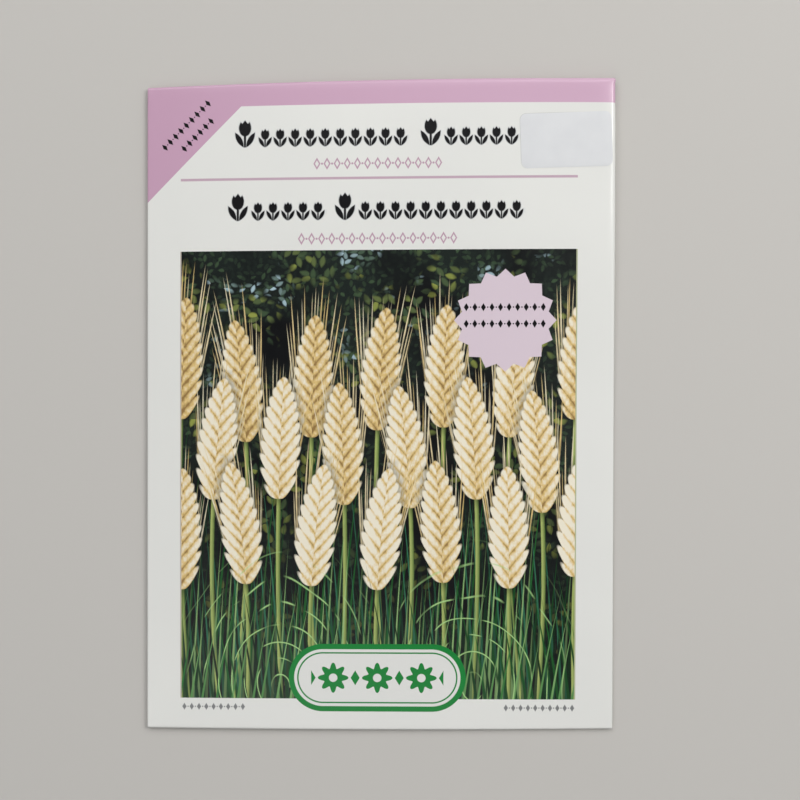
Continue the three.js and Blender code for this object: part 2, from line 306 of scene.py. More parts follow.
def sheet_faces(there, offset):
    """Quads of a closed sheet on a grid of frames: outer side, inner side, and the cut edge between them.

    there marks the frames in use. Returns the faces, the grid cell of each, its kind, and for the cut edge
    the direction that it faces on the grid.
    """
    index = np.cumsum(there).reshape(there.shape) - 1
    cells = there[:-1, :-1] & there[1:, :-1] & there[:-1, 1:] & there[1:, 1:]
    bordered = np.pad(cells, 1)
    faces, homes, kinds, ways = [], [], [], []
    for row, column in np.argwhere(cells):
        around = [(row, column), (row, column + 1), (row + 1, column + 1), (row + 1, column)]
        outer = [int(index[place]) for place in around]
        inner = [vertex + offset for vertex in outer]
        faces += [outer, inner[::-1]]
        kinds += ["outer", "inner"]
        homes += [(row, column)] * 2
        ways += [(0, 0)] * 2
        for side, (up, over) in enumerate([(-1, 0), (0, 1), (1, 0), (0, -1)]):
            if bordered[row + 1 + up, column + 1 + over]:
                continue
            end = (side + 1) % 4
            faces.append([outer[end], outer[side], inner[side], inner[end]])
            kinds.append("cut")
            homes.append((row, column))
            ways.append((over, up))
    return faces, homes, kinds, ways


def new_object(name, data):
    made = bpy.data.objects.new(name, data)
    bpy.context.scene.collection.objects.link(made)
    return made


def mesh_object(name, vertices, faces):
    mesh = bpy.data.meshes.new(name)
    mesh.from_pydata((np.asarray(vertices) * MM).tolist(), [], faces)
    mesh.update()
    return new_object(name, mesh)


def smooth_with_crisp_edges(piece):
    piece.data.shade_smooth()
    piece.data.set_sharp_from_angle(angle=math.radians(CRISP_ANGLE))


# Where each part of the sheet lies in the square of its UV map: the part's lower left corner on the sheet
# and in the map, and the map's units for each millimetre.
ISLANDS = {
    "face": ((-42.4, -59.4), (0.008, 0.008), 0.00825),
    "back": ((41.4, -58.0), (0.722, 0.008), 0.0032),
    "top_flap": ((-42.0, 58.2), (0.722, 0.395), 0.0032),
    "bottom_flap": ((-42.0, -72.0), (0.722, 0.470), 0.0032),
    "seam": ((-51.5, -58.0), (0.722, 0.530), 0.0022),
    "inside": ((-51.5, -72.5), (0.722, 0.800), 0.00128),
}


def island_of(row, column, kind, first):
    """The island that holds a face in that cell of the grid. first is the front panel's first column."""
    if kind == "inner":
        return "inside"
    if row < BOTTOM_FLAP_STEPS:
        return "bottom_flap"
    if row >= BOTTOM_FLAP_STEPS + 2 * FOLD_STEPS + ALONG_STEPS:
        return "top_flap"
    if column >= first + ACROSS_STEPS + FOLD_STEPS:
        return "back"
    return "seam" if column < SEAM_STEPS else "face"


def island_uvs(face, island, flat, cut_way):
    """Places in the UV map of a face's vertices. Those on the paper's inner side are moved along cut_way."""
    start, origin, scale = ISLANDS[island]
    uvs = []
    for vertex in face:
        place = flat[vertex % len(flat)]
        strip = CUT_STRIP * (vertex >= len(flat))
        across = (place[0] + strip * cut_way[0] - start[0]) * scale
        along = (place[1] + strip * cut_way[1] - start[1]) * scale
        if island == "seam":
            across, along = along, across
        uvs += [origin[0] + across, origin[1] + along]
    return uvs


def build_envelope():
    (points, facing, places), first = sheet_frames()
    there = ~np.isnan(points[:, :, 0])
    outer = points[there] + facing[there] * PAPER / 2
    inner = points[there] - facing[there] * PAPER / 2
    faces, homes, kinds, ways = sheet_faces(there, len(outer))
    piece = mesh_object("packet_paper", np.concatenate([outer, inner]), faces)

    flat = places[there]
    corner_places = np.array([flat[vertex % len(flat)] for face in faces for vertex in face])
    printed = np.array([float(kind == "outer") for kind in kinds for _ in range(4)])
    sheet = piece.data.attributes.new("sheet", "FLOAT_VECTOR", "CORNER")
    sheet.data.foreach_set("vector", np.column_stack([corner_places, printed]).ravel())

    uvs = []
    for face, (row, column), kind, way in zip(faces, homes, kinds, ways):
        uvs += island_uvs(face, island_of(row, column, kind, first), flat, way)
    piece.data.uv_layers.new(name="OFBake").data.foreach_set("uv", uvs)
    smooth_with_crisp_edges(piece)
    return piece


# ---------------------------------------------------------------- patterns as arithmetic

EDGE = 0.06                      # softness of a printed edge


class Num:
    """A number that varies over a surface. Arithmetic on it adds Math nodes to the material."""

    tree = None

    def __init__(self, socket):
        self.socket = socket

    def __add__(self, other):
        return math_node("ADD", self, other)

    def __sub__(self, other):
        return math_node("SUBTRACT", self, other)

    def __rsub__(self, other):
        return math_node("SUBTRACT", other, self)

    def __mul__(self, other):
        return math_node("MULTIPLY", self, other)

    def __truediv__(self, other):
        return math_node("DIVIDE", self, other)

    def __pow__(self, other):
        return math_node("POWER", self, other)

    def __neg__(self):
        return math_node("MULTIPLY", self, -1.0)

    def __abs__(self):
        return math_node("ABSOLUTE", self)


def plug(value, slot):
    if isinstance(value, Num):
        Num.tree.links.new(value.socket, slot)
    elif isinstance(value, bpy.types.NodeSocket):
        Num.tree.links.new(value, slot)
    else:
        slot.default_value = value


def new_node(kind):
    return Num.tree.nodes.new("ShaderNode" + kind)


def math_node(operation, *values, clamp=False):
    node = new_node("Math")
    node.operation = operation
    node.use_clamp = clamp
    for slot, value in zip(node.inputs, values):
        plug(value, slot)
    return Num(node.outputs[0])


least = partial(math_node, "MINIMUM")
most = partial(math_node, "MAXIMUM")
above = partial(math_node, "GREATER_THAN")
part_of = partial(math_node, "FRACT")
whole = partial(math_node, "FLOOR")
swing = partial(math_node, "PINGPONG")
sine = partial(math_node, "SINE")
cosine = partial(math_node, "COSINE")
direction = partial(math_node, "ARCTAN2")
root = partial(math_node, "SQRT")
times_plus = partial(math_node, "MULTIPLY_ADD")


def inside(distance, edge=EDGE):
    """1 where distance is below zero and 0 above it, with an edge that many millimetres wide."""
    return times_plus(distance, -1.0 / edge, 0.5, clamp=True)


def ramp(value, low, high):
    """0 at low, 1 at high, and held there beyond them."""
    return times_plus(value, 1.0 / (high - low), -low / (high - low), clamp=True)


def length(x, y):
    return root(times_plus(x, x, y * y))


def vector(x, y):
    node = new_node("CombineXYZ")
    for slot, value in zip(node.inputs, (x, y)):
        plug(value, slot)
    return node.outputs[0]


def split(socket):
    """The three parts of a vector or a colour."""
    node = new_node("SeparateXYZ" if socket.type == "VECTOR" else "SeparateColor")
    plug(socket, node.inputs[0])
    return [Num(out) for out in node.outputs]


def noise(x, y, scale, detail=2.0, roughness=0.5):
    node = new_node("TexNoise")
    node.noise_dimensions = "2D"
    plug(vector(x, y), node.inputs["Vector"])
    node.inputs["Scale"].default_value = scale
    node.inputs["Detail"].default_value = detail
    node.inputs["Roughness"].default_value = roughness
    return Num(node.outputs[0])


def draws(number, seed):
    """Three random numbers that stay the same all over a cell with that number, others for each seed."""
    node = new_node("TexWhiteNoise")
    node.noise_dimensions = "1D"
    plug(times_plus(seed, 1000.0, number), node.inputs["W"])
    return split(node.outputs["Color"])


def scatter(x, y, scale):
    """Place of the nearest of many scattered points, and three random numbers that belong to it."""
    node = new_node("TexVoronoi")
    node.voronoi_dimensions = "2D"
    plug(vector(x, y), node.inputs["Vector"])
    node.inputs["Scale"].default_value = scale
    return split(node.outputs["Position"]), split(node.outputs["Color"])


def srgb(red, green, blue):
    """A colour from its 0 to 255 display values, as the shader's linear light, by the sRGB standard."""
    def linear(value):
        if value > 0.04045 * 255:
            return ((value / 255 + 0.055) / 1.055) ** 2.4
        return value / 255 / 12.92

    return (linear(red), linear(green), linear(blue), 1.0)


def over(under, colour, amount):
    """Prints colour over under by amount."""
    node = new_node("Mix")
    node.data_type = "RGBA"
    # These sockets are the factor's and the colours'.
    plug(amount, node.inputs[0])
    plug(under, node.inputs[6])
    plug(colour, node.inputs[7])
    return node.outputs[2]


def between(value, low, high, edge=EDGE):
    """1 where value lies from low to high."""
    return inside(abs(value - (low + high) / 2) - (high - low) / 2, edge)


def turned(x, y, degrees):
    """x and y in axes turned by degrees."""
    c, s = math.cos(math.radians(degrees)), math.sin(math.radians(degrees))
    return times_plus(x, c, y * s), times_plus(x, -s, y * c)


def leaf(x, y, half_length, half_width):
    """Distance outside a leaf shape that lies along x."""
    return abs(y) - times_plus(x * x, -half_width / half_length**2, half_width)


# ---------------------------------------------------------------- the print

MAUVE = srgb(208, 172, 194)
CORNER_MAUVE = srgb(198, 159, 183)
RULE_MAUVE = srgb(193, 166, 180)
SMALL_MAUVE = srgb(188, 153, 171)
PALE_MAUVE = srgb(217, 201, 211)
INK = srgb(10, 9, 12)
INK_SPREAD = srgb(150, 156, 164)
GREY_INK = srgb(92, 94, 96)
# Grey of the painted shadow along the label's upper left edges
LABEL_SHADOW_GREY = srgb(150, 152, 154)
WHITE = srgb(231, 231, 226)
SHADED_WHITE = srgb(226, 226, 222)
GREEN = srgb(4, 128, 50)

PICTURE_LEFT = -35.12
PICTURE_RIGHT = 34.43
PICTURE_BOTTOM = -51.97
PICTURE_TOP = 27.27

BAND_EDGE = 53.2                 # highest point of the band's lower edge
BAND_EDGE_DROP = 0.7             # how far that edge falls in BAND_EDGE_REACH
BAND_EDGE_REACH = 58.0
CORNER_LINE = 77.68              # the mauve corner lies above y = CORNER_LINE + CORNER_SLOPE * x
CORNER_SLOPE = 1.02
CORNER_ROWS = (-33.67, 48.7)     # middle of the corner's two slanted rows
CORNER_ROWS_TURN = 45.6
CORNER_TONES = (40.0, -37.0)     # from MAUVE at the first x to CORNER_MAUVE at the second

TITLE_MIDDLE = 40.0              # between the two title rows
RULE_Y = 39.92
RULE_ENDS = (-35.25, 34.6)
RULE_HALF = 0.22                 # half its thickness
TITLE_Y = 34.25                  # middle of the lower row's small motifs
TITLE_RISE = 12.98               # from the lower row to the upper one
SMALL_MOTIF = 2.65               # width of a small motif in the title rows
LARGE_MOTIF = 1.5                # how much bigger the first motif of each run is
LARGE_SPACE = 0.5                # how much wider than the motif its cell is
MOTIF_FOOT = 1.62                # from a row's middle down to the foot of its small motifs
RUN_BREAKS = (-9.0, 6.0)         # where the lower and the upper row's second runs begin to count
RUN_STARTS = ((-27.3, -8.4), (-26.1, 6.6))
RUN_COUNTS = ((5, 11), (10, 5))
SMALL_ROW_X = -0.45
SMALL_ROW_Y = 29.3
SMALL_ROW_RISE = 13.2
SMALL_ROW_COUNTS = (16, 13)      # lozenges in the lower and the upper mauve row

BADGE = (22.0, 14.85)
BADGE_POINTS = 16
BADGE_TIP = 9.0
BADGE_VALLEY = 7.75
CARTOUCHE = (-0.35, -48.2)
CARTOUCHE_HALF = 9.6             # half the length between the middles of its round ends
CARTOUCHE_RADIUS = 6.05
CARTOUCHE_BORDER = 0.95
CARTOUCHE_LINE = 1.6             # from its edge in to the thin line
ROSETTE_CELL = 3.9               # half the distance between two rosettes
SMALL_PRINT_Y = -53.5
SMALL_PRINT_X = (-29.4, 28.25)   # middles of its left and right rows
SMALL_PRINT_COUNTS = (9, 10)

# Distance between two lozenges of a row, and their sizes
CORNER_MARKS = {"cell": 1.36, "half_width": 0.37, "half_height": 0.74}
SMALL_ROW_MARKS = {"cell": 1.78, "half_width": 0.62, "half_height": 1.08, "line": 0.22}
BADGE_MARKS = {"cell": 1.5, "half_width": 0.44, "half_height": 0.72}
SMALL_PRINT_MARKS = {"cell": 1.3, "half_width": 0.38, "half_height": 0.62}


def chosen(switch, off, on):
    """off where switch is 0 and on where it is 1."""
    return times_plus(switch, on - off, off)


def lozenges(x, y, count, cell, half_width, half_height, line=0.0):
    """Distance outside a row of count lozenges about x = 0, with a dot between each two.

    They are filled, or drawn in outline where line is given.
    """
    reach = (count - 1) * (cell / 2)
    across = swing(x + reach, cell / 2)
    outline = across / half_width + abs(y) / half_height
    steepness = half_width * 0.85
    if line:
        lozenge = (abs(outline - 1.0 + line) - line) * steepness
    else:
        lozenge = (outline - 1.0) * steepness
    dot_radius = 0.3 * half_width
    dot = length(across - cell / 2, y) - dot_radius
    end_space = 0.04
    return most(least(lozenge, dot), abs(x) - (reach + half_width + end_space))


def motif(across, y):
    """A small tulip with two leaves. across is the distance from its middle line."""
    cup_y, cup_half_width, cup_half_height = 0.62, 0.72, 0.98
    notch_x, notch_y, notch_slope = 0.33, 1.12, 1.25
    stem_drop, stem_half_width, stem_half_height = 0.86, 0.13, 0.8
    leaf_x, leaf_drop, leaf_turn = 0.66, 0.78, 60
    steepness = 0.7
    cup = length(across / cup_half_width, (y - cup_y) / cup_half_height) - 1.0
    crown = y - notch_y - abs(across - notch_x) * notch_slope
    bloom = most(cup * steepness, crown * steepness)
    stem = most(across - stem_half_width, abs(y + stem_drop) - stem_half_height)
    u, v = turned(across - leaf_x, y + leaf_drop, leaf_turn)
    side_leaf = leaf(u, v, half_length=1.0, half_width=0.31)
    return least(bloom, least(stem, side_leaf))


def title_rows(ink, x, y):
    """Two rows of black ornament, each in two runs that begin with a larger motif."""
    upper = above(y, TITLE_MIDDLE)
    second = above(x, chosen(upper, *RUN_BREAKS))
    low_starts, high_starts = RUN_STARTS
    low_counts, high_counts = RUN_COUNTS
    from_start = x - chosen(upper, chosen(second, *low_starts), chosen(second, *high_starts))
    small_count = chosen(upper, chosen(second, *low_counts), chosen(second, *high_counts))
    row_y = y - chosen(upper, TITLE_Y, TITLE_Y + TITLE_RISE)

    large_width = SMALL_MOTIF * LARGE_MOTIF + LARGE_SPACE
    small_x = from_start - large_width
    is_small = above(small_x, 0.0)
    shrink = chosen(is_small, 1.0 / LARGE_MOTIF, 1.0)
    small_across = abs(part_of(small_x / SMALL_MOTIF) - 0.5) * SMALL_MOTIF
    large_across = abs(from_start - large_width / 2) / LARGE_MOTIF
    across = chosen(is_small, large_across, small_across)
    # Small and large motifs stand on one line.
    motif_y = (row_y + MOTIF_FOOT) * shrink - MOTIF_FOOT
    shape = most(motif(across, motif_y) / shrink, small_x - small_count * SMALL_MOTIF)
    start_space, row_rise, row_half_height = 0.1, 0.6, 3.4
    around_row = most(-start_space - from_start, abs(row_y - row_rise) - row_half_height)
    shape = most(shape, around_row)
    spread = 0.08
    ink = over(ink, INK_SPREAD, inside(shape - spread, edge=0.25) * 0.5)
    return over(ink, INK, inside(shape, edge=0.1))


def mauve_rows(ink, x, y):
    """The rule between the title rows, and a row of small mauve lozenges under each."""
    upper = above(y, TITLE_MIDDLE)
    row_y = y - chosen(upper, SMALL_ROW_Y, SMALL_ROW_Y + SMALL_ROW_RISE)
    row = lozenges(x - SMALL_ROW_X, row_y, chosen(upper, *SMALL_ROW_COUNTS), **SMALL_ROW_MARKS)
    ink = over(ink, SMALL_MAUVE, inside(row))
    rule = inside(abs(y - RULE_Y) - RULE_HALF) * between(x, *RULE_ENDS)
    return over(ink, RULE_MAUVE, rule)


def corner_and_band(ink, x, y):
    """The mauve band along the top and the mauve corner, with two slanted rows of small marks."""
    from_peak = (x - TOP_PEAK_X) / BAND_EDGE_REACH
    band = times_plus(from_peak * from_peak, -BAND_EDGE_DROP, BAND_EDGE) - y
    corner_line = times_plus(x, CORNER_SLOPE, CORNER_LINE) - y
    mauve = over(MAUVE, CORNER_MAUVE, ramp(-x, -CORNER_TONES[0], -CORNER_TONES[1]))
    slant = 0.7                  # distance from the slanted line, for each unit of height over it
    ink = over(ink, mauve, inside(least(band, corner_line * slant)))
    u, v = turned(x - CORNER_ROWS[0], y - CORNER_ROWS[1], CORNER_ROWS_TURN)
    first_rise, second_drop, second_shift = 0.85, 1.75, 0.2
    first = lozenges(u, v - first_rise, count=9, **CORNER_MARKS)
    second = lozenges(u - second_shift, v + second_drop, count=6, **CORNER_MARKS)
    return over(ink, INK, inside(least(first, second)))


def badge(ink, x, y):
    """A pale star with many points and two rows of small marks."""
    dx, dy = x - BADGE[0], y - BADGE[1]
    sector = math.pi / BADGE_POINTS
    angle = swing(direction(dy, dx), sector)
    valley_x, valley_y = BADGE_VALLEY * math.cos(sector), BADGE_VALLEY * math.sin(sector)
    run = math.hypot(BADGE_TIP - valley_x, valley_y)
    normal = (valley_y / run, (BADGE_TIP - valley_x) / run)
    across = times_plus(cosine(angle), normal[0], sine(angle) * normal[1]) * length(dx, dy)
    ink = over(ink, PALE_MAUVE, inside(across - BADGE_TIP * normal[0]))
    rows_shift, rows_y, row_gap = 0.1, 0.85, 2.9
    row = lozenges(dx + rows_shift, abs(dy - rows_y) - row_gap / 2, count=10, **BADGE_MARKS)
    return over(ink, INK, inside(row))


def cartouche(ink, x, y):
    """A white plaque with round ends and a green border, and a row of rosettes in it."""
    dx, dy = x - CARTOUCHE[0], y - CARTOUCHE[1]
    shape = length(most(abs(dx) - CARTOUCHE_HALF, 0.0), dy) - CARTOUCHE_RADIUS
    ink = over(ink, GREEN, inside(shape))
    ink = over(ink, SHADED_WHITE, inside(shape + CARTOUCHE_BORDER))
    line_half = 0.13
    ink = over(ink, GREEN, inside(abs(shape + CARTOUCHE_LINE) - line_half))
    cell = swing(dx, ROSETTE_CELL)
    radius = length(cell, dy)
    petal_count, petal_depth, mean_radius, eye_radius = 8.0, 0.5, 2.2, 0.75
    petals = cosine(direction(dy, cell) * petal_count)
    rosette = most(radius - times_plus(petals, petal_depth, mean_radius), eye_radius - radius)
    lozenge_half_width, lozenge_slope = 0.8, 0.6
    lozenge = (ROSETTE_CELL - cell) + abs(dy) * lozenge_slope - lozenge_half_width
    marks = most(least(rosette, lozenge), abs(dx) - 3 * ROSETTE_CELL)
    return over(ink, GREEN, inside(marks))


def small_print(ink, x, y):
    """Short rows of grey marks under the picture's corners."""
    right = above(x, 0.0)
    row_x = x - chosen(right, *SMALL_PRINT_X)
    row = lozenges(row_x, y - SMALL_PRINT_Y, chosen(right, *SMALL_PRINT_COUNTS), **SMALL_PRINT_MARKS)
    return over(ink, GREY_INK, inside(row, edge=0.12) * 0.85)


def painted_label_shadow(ink, x, y):
    """A painted shadow of the label's edge: a faint grey line on the paper along its upper left edges."""
    u, v = turned(x - LABEL_CENTRE.x, y - LABEL_CENTRE.y, math.degrees(LABEL_TURN))
    past_u = most(abs(u) - (LABEL_WIDTH / 2 - LABEL_CORNER), 0.0)
    past_v = most(abs(v) - (LABEL_HEIGHT / 2 - LABEL_CORNER), 0.0)
    outside = length(past_u, past_v) - LABEL_CORNER
    line_width = 0.06
    # The painted shadow is drawn only on the label's upper left sides.
    line = inside(outside - line_width, edge=0.12) * ramp(v - u, 1.0, 6.0)
    return over(ink, LABEL_SHADOW_GREY, line * 0.55)


# ---------------------------------------------------------------- the picture

PICTURE_SHIFT = 0.35             # how far its plants are moved to the left
EAR_PITCH = 23.2                 # two interleaved sets of ears make a row
EAR_LENGTH = 21.5
EAR_WIDTH = 4.2
EAR_RISE = 5.0                   # how much higher an ear can stand than others of its set
STALK_HALF = 0.36                # half a stalk's width
GRAIN = 2.3                      # spacing of grains up an ear
AWN_FOCUS = 13.0                 # awns fan out from this far below the ear
AWN_STEP = 0.0165                # slope from one awn to the next
AWN_SPREAD = 0.165               # slope of the outermost awns
AWN_HALF = 0.14                  # half an awn's width
AWN_TAPER = 8.0                  # length of its thin end
AWN_EXTRA = 9.0                  # how far the longest reach past the ear

# Colours of the picture
SHADE = srgb(4, 5, 7)
SHADE_GREEN = srgb(24, 33, 29)
LEAF_DARK = srgb(60, 80, 56)
LEAF_OLIVE = srgb(150, 158, 74)
SKY = srgb(172, 198, 208)
HUSK = srgb(152, 120, 72)
GOLD = srgb(222, 192, 126)
CREAM = srgb(240, 232, 212)
AWN_PALE = srgb(236, 226, 196)
STALK = srgb(168, 182, 106)
STALK_SHADE = srgb(84, 108, 52)
GRASS_DARK = srgb(2, 27, 10)
GRASS_MID = srgb(34, 108, 46)
GRASS_LIGHT = srgb(170, 212, 138)
GRASS_BLUE = srgb(56, 124, 92)
TAN_RIM = srgb(168, 146, 128)
OLIVE_RIM = srgb(158, 164, 104)


def scattered_leaves(ink, x, h, size, dark, light, where):
    """Small leaves that each point their own way, shown by where."""
    spot, (turn, tone, _) = scatter(x, h, 1.0 / size)
    turn = turn * math.tau
    c, s = cosine(turn), sine(turn)
    u, v = x - spot[0], h - spot[1]
    along, across = times_plus(u, c, v * s), times_plus(v, c, -(u * s))
    shape = leaf(along, across, half_length=size * 0.62, half_width=size * 0.27)
    return over(ink, over(dark, light, tone * tone), inside(shape, edge=size * 0.2) * where)


def foliage(x, h):
    """A dark ground of small leaves, with a little sky through them."""
    # Each set of leaves is shown where its own noise is dense.
    haze = noise(x, h, scale=0.07)
    clump = noise(x + 40.0, h, scale=0.11)
    ink = over(SHADE, SHADE_GREEN, ramp(haze, 0.35, 0.65))
    ink = scattered_leaves(ink, x, h, 1.1, SHADE_GREEN, LEAF_DARK, ramp(haze, 0.42, 0.6))
    sky = ramp(noise(x, h + 70.0, scale=0.13), 0.60, 0.68) * ramp(h, 48.0, 62.0)
    ink = scattered_leaves(ink, x, h + 9.0, 1.2, LEAF_DARK, SKY, sky)
    return scattered_leaves(ink, x + 5.0, h, 1.7, LEAF_DARK, LEAF_OLIVE, ramp(clump, 0.5, 0.62))


def blades(ink, x, h, dark, light, pitch, half_width, lean, top, seed):
    """Upright blades, one in each cell of that pitch, that lean, bow and narrow to tips by the height top."""
    bow = lean / 60.0
    along = (x - times_plus(h, bow, lean) * h) / pitch
    shift, tall, tone = draws(whole(along), seed)
    offset = abs(part_of(along) - 0.5 + (shift - 0.5) * 0.6) * pitch
    # The shortest end at 0.4 of that height. All are lighter at their tips.
    up = h / times_plus(tall, 0.6 * top, 0.4 * top)
    thick = times_plus(up, -half_width, half_width)
    lit = tone * times_plus(up, 0.6, 0.42)
    return over(ink, over(dark, light, lit), inside(offset - thick, edge=0.12))


def arcs(ink, x, h, colour, centre_x, pitch, reach):
    """Thin arching blades: broken rings about a point low in the picture."""
    centre_h, flatness, half_line = 2.0, 0.75, 0.08
    ring = length(x - centre_x, (h - centre_h) * flatness)
    waver = noise(x, h, scale=0.05, detail=1.0) * 2.0
    line = abs(part_of(ring / pitch + waver) - 0.5) * pitch
    shown = ramp(noise(x, h, scale=0.22, detail=1.0), 0.42, 0.55) * inside(ring - reach, edge=6.0)
    return over(ink, colour, inside(line - half_line, edge=0.12) * shown)


def awns(ink, a, up, cell, seed):
    """Bristles that fan out from behind an ear. a runs across it and up along it."""
    slope = a / (up + AWN_FOCUS)
    awn_place = slope / AWN_STEP
    nudge, extra, pale = draws(whole(awn_place), times_plus(cell, 7.0, seed))
    aside = abs(part_of(awn_place) - 0.5 + (nudge - 0.5) * 0.7) * (up + AWN_FOCUS) * AWN_STEP
    spread = abs(slope)
    # The outer ones begin higher and end lower.
    end = times_plus(extra, AWN_EXTRA, EAR_LENGTH) - spread * 40.0
    half_width = ramp(end - up, 0.0, AWN_TAPER) * AWN_HALF
    awn = most(aside - half_width, times_plus(spread, 48.0, -up))
    awn = most(awn, (spread - AWN_SPREAD) * 30.0)
    return over(ink, over(GOLD, AWN_PALE, pale), inside(awn, edge=0.12) * ramp(end - up, 0.0, 1.5))


def grains(ink, a, side, up, tone, dimness):
    """The ear itself: two rows of grains, lit from the left. side is the distance from its middle line."""
    t = math_node("MULTIPLY", up, 1.0 / EAR_LENGTH, clamp=True)
    # An ear is widest a little below its middle.
    half_width = (t ** 0.42) * ((1.0 - t) ** 0.6) * (1.7 * EAR_WIDTH)
    rows = (up - side * 1.2) / GRAIN + above(a, 0.0) * 0.5
    rough = noise(a * 1.6, up, scale=1.0, roughness=0.6)
    f = part_of(rows)
    bulge = f * (1.0 - f) * 4.0
    edge = most(side - half_width * times_plus(bulge, 0.26, 0.74), most(-up, up - EAR_LENGTH))
    ink = over(ink, SHADE, inside(edge - 0.7, edge=2.0) * 0.6)
    light = times_plus(bulge, 0.55, side * 0.12) + rough * 0.7 + tone * 0.2 + t * 0.14
    light = light - ramp(a, -1.5, EAR_WIDTH) * 0.24 - dimness
    body = over(HUSK, GOLD, ramp(light, 0.4, 0.78))
    body = over(body, CREAM, ramp(light, 0.78, 1.16))
    return over(ink, body, inside(edge, edge=0.3))


def ears(ink, x, h, shift, base, seed, dimness):
    """Every other bearded ear of a row, on its thin stalk, each a little different."""
    along = (x - shift) / EAR_PITCH
    cell = whole(along)
    lean, tone, rise = draws(cell, seed)
    up = h - base - rise * EAR_RISE
    a = (part_of(along) - 0.5) * EAR_PITCH - (lean - 0.5) * times_plus(up, 0.006, 0.14) * up
    side = abs(a)
    stalk = most(side - STALK_HALF, up - 2.0)
    stalk_tone = over(STALK, STALK_SHADE, ramp(a, -0.2, STALK_HALF))
    ink = over(ink, stalk_tone, inside(stalk, edge=0.15))
    ink = awns(ink, a, up, cell, seed)
    return grains(ink, a, side, up, tone, dimness)


def picture(x, y):
    """The generic picture: rows of bearded ears over upright green blades, on a dark leafy ground."""
    x = x + PICTURE_SHIFT
    h = y - PICTURE_BOTTOM
    half = EAR_PITCH / 2
    quarter = EAR_PITCH / 4
    darker_below, darkest_below = 44.0, 20.0
    ink = over(foliage(x, h), SHADE, ramp(-h, -darker_below, -darkest_below) * 0.7)
    ink = blades(ink, x, h, GRASS_DARK, GRASS_MID, pitch=1.3, half_width=0.34, lean=0.06, top=52.0, seed=1)
    ink = ears(ink, x, h, shift=0.0, base=46.0, seed=11, dimness=0.14)
    ink = ears(ink, x, h, shift=half, base=44.0, seed=12, dimness=0.1)
    ink = blades(ink, x, h, GRASS_DARK, GRASS_BLUE, pitch=1.1, half_width=0.28, lean=-0.05, top=44.0, seed=2)
    ink = ears(ink, x, h, shift=quarter, base=32.0, seed=13, dimness=0.05)
    ink = ears(ink, x, h, shift=quarter + half, base=30.5, seed=14, dimness=0.02)
    ink = blades(ink, x, h, GRASS_DARK, GRASS_LIGHT, pitch=1.2, half_width=0.26, lean=0.04, top=34.0, seed=3)
    ink = ears(ink, x, h, shift=0.0, base=17.5, seed=15, dimness=0.0)
    ink = ears(ink, x, h, shift=half, base=16.0, seed=16, dimness=0.0)
    ink = blades(ink, x, h, GRASS_DARK, GRASS_MID, pitch=1.5, half_width=0.28, lean=-0.13, top=24.0, seed=4)
    ink = blades(ink, x, h, GRASS_MID, GRASS_LIGHT, pitch=2.1, half_width=0.2, lean=0.15, top=18.0, seed=5)
    ink = arcs(ink, x, h, GRASS_LIGHT, centre_x=-17.0, pitch=2.6, reach=17.0)
    return arcs(ink, x, h, GRASS_LIGHT, centre_x=17.0, pitch=2.9, reach=17.0)


def picture_rims(ink, x, y):
    """Hairlines of stray colour along the picture's sides, where the printing inks don't quite meet."""
    beside = between(y, PICTURE_BOTTOM, PICTURE_TOP)
    width, edge = 0.2, 0.1
    ink = over(ink, TAN_RIM, between(x, PICTURE_LEFT - width, PICTURE_LEFT, edge) * beside * 0.7)
    return over(ink, OLIVE_RIM, between(x, PICTURE_RIGHT, PICTURE_RIGHT + width, edge) * beside * 0.8)


# ---------------------------------------------------------------- the back

BACK_START = WIDTH / 2 + 1.0     # where the back begins on the unfolded sheet
BACK_MIDDLE = WIDTH + 1.4
BACK_BOX = (34.0, 38.0)          # half width and half height of the ruled box
BACK_BOX_Y = -2.0
MARGIN = 29.0                    # half width of what is printed in the box
HEADING_Y = 26.5
HEADING_HALF = (24.0, 1.1)
LINE_PITCH = 3.8
LINE_HALF = 0.42                 # half a line's thickness
LINES_TOP = 16.0
LINE_COUNT = 9
MONTH_PITCH = 2 * MARGIN / 12
MONTHS_Y = -30.0
MONTH_HALF = (1.95, 2.6)         # half width and half height of a month's box
MONTHS_FILLED = (2, 5)           # first of the filled months, and the one after the last


def month_boxes(ink, x, y):
    """A row of twelve boxes, some of them filled."""
    from_middle = swing(x + MARGIN - MONTH_PITCH / 2, MONTH_PITCH / 2)
    box = most(from_middle - MONTH_HALF[0], abs(y - MONTHS_Y) - MONTH_HALF[1])
    box = most(box, abs(x) - MARGIN)
    first, end = [month * MONTH_PITCH - MARGIN for month in MONTHS_FILLED]
    white_rim, line_half = 0.5, 0.12
    ink = over(ink, MAUVE, inside(box + white_rim) * between(x, first, end))
    return over(ink, GREY_INK, inside(abs(box) - line_half) * 0.8)


def back_print(ink, x, y):
    """A ruled box with a heading bar and grey lines where a packet's back has its notes.

    x runs with the back's reader.
    """
    box = most(abs(x) - BACK_BOX[0], abs(y - BACK_BOX_Y) - BACK_BOX[1])
    rule_half = 0.25
    ink = over(ink, MAUVE, inside(abs(box) - rule_half))
    line = (y - LINES_TOP) / LINE_PITCH
    from_middle = swing(y - LINES_TOP - LINE_PITCH / 2, LINE_PITCH / 2)
    rag, _, _ = draws(whole(line), seed=3)
    longest_rag = 14.0
    bars = most(from_middle - LINE_HALF, most(x - times_plus(rag, -longest_rag, MARGIN), -MARGIN - x))
    bars = most(bars, most(y - LINES_TOP, LINES_TOP - LINE_COUNT * LINE_PITCH - y))
    ink = over(ink, GREY_INK, inside(bars) * 0.8)
    ink = month_boxes(ink, x, y)
    heading = most(abs(y - HEADING_Y) - HEADING_HALF[1], abs(x) - HEADING_HALF[0])
    return over(ink, MAUVE, inside(heading))


# ---------------------------------------------------------------- materials

